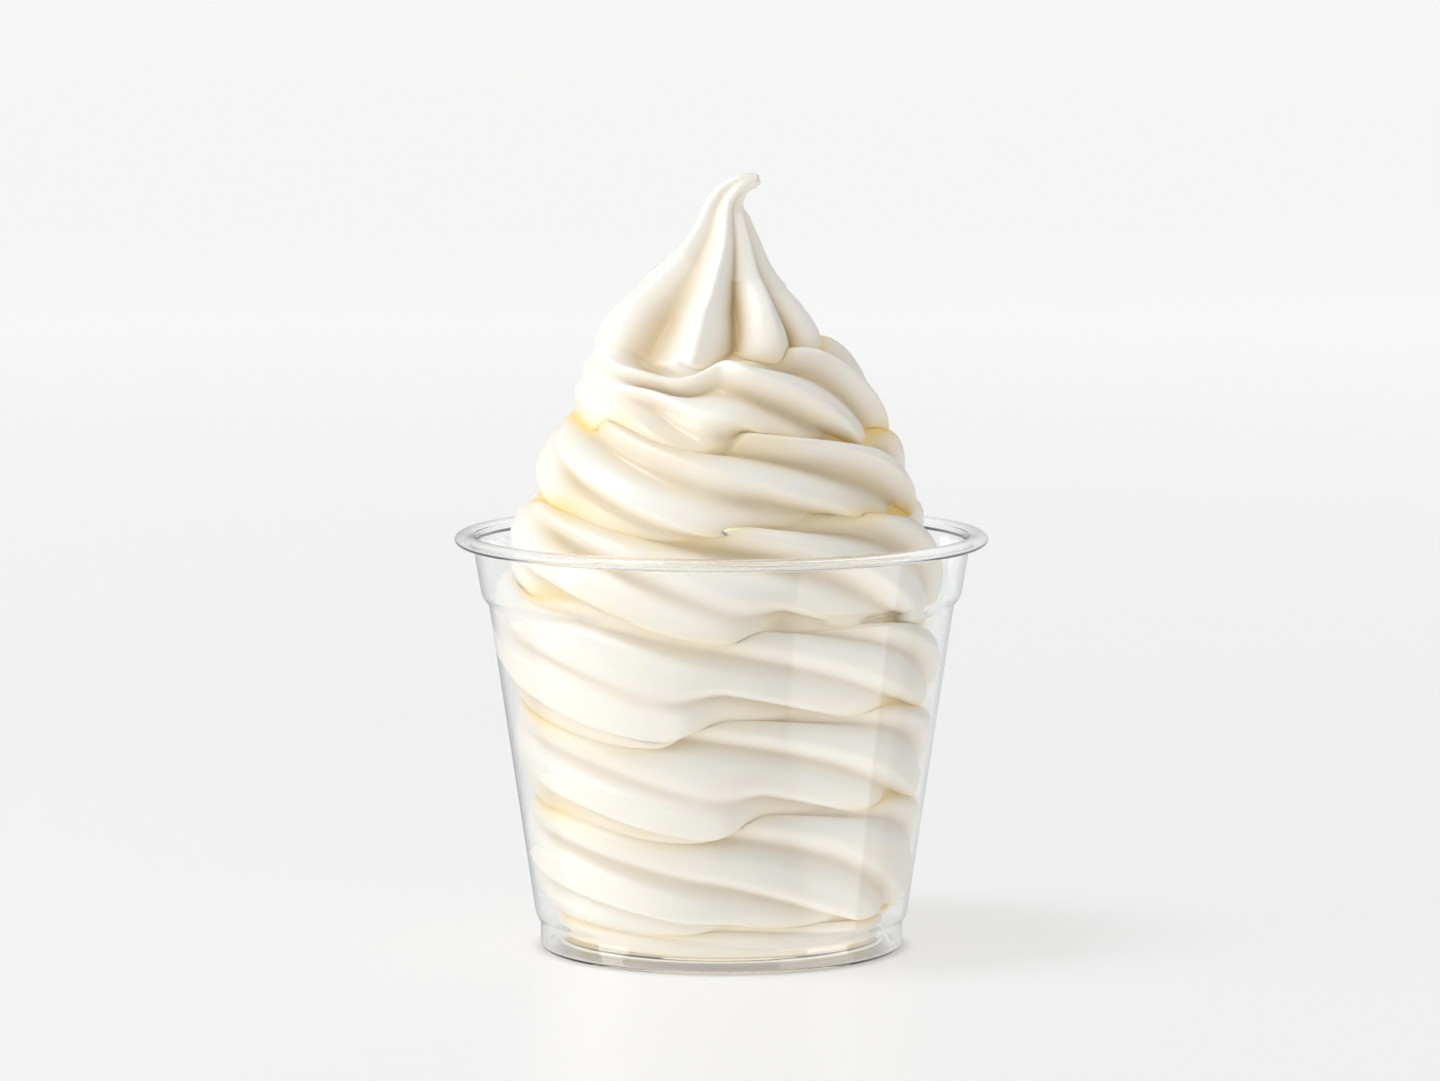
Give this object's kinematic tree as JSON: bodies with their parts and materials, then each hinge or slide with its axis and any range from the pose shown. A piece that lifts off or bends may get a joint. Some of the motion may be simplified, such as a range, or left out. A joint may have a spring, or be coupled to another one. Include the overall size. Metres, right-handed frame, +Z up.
{
  "type": "cup of soft-serve ice cream",
  "caption": "Round clear plastic cup filled with a ridged swirl of vanilla soft-serve ice cream that rises above the rolled rim to a curled peak.",
  "frame": {"origin": "on the surface the cup stands on, at the centre of its foot", "axes": "+Z up along the cup's axis, -Y towards the front, +X to the right, where the peak's tip points"},
  "size_m": [0.098, 0.098, 0.1424],
  "materials": {
    "clear_plastic": "clear, thin and glossy, with a rolled rim",
    "ice_cream": "creamy vanilla, smooth and softly glossy"
  },
  "bodies": {
    "root": {"cup": "clear_plastic", "soft_serve": "ice_cream"}
  },
  "joints": []
}
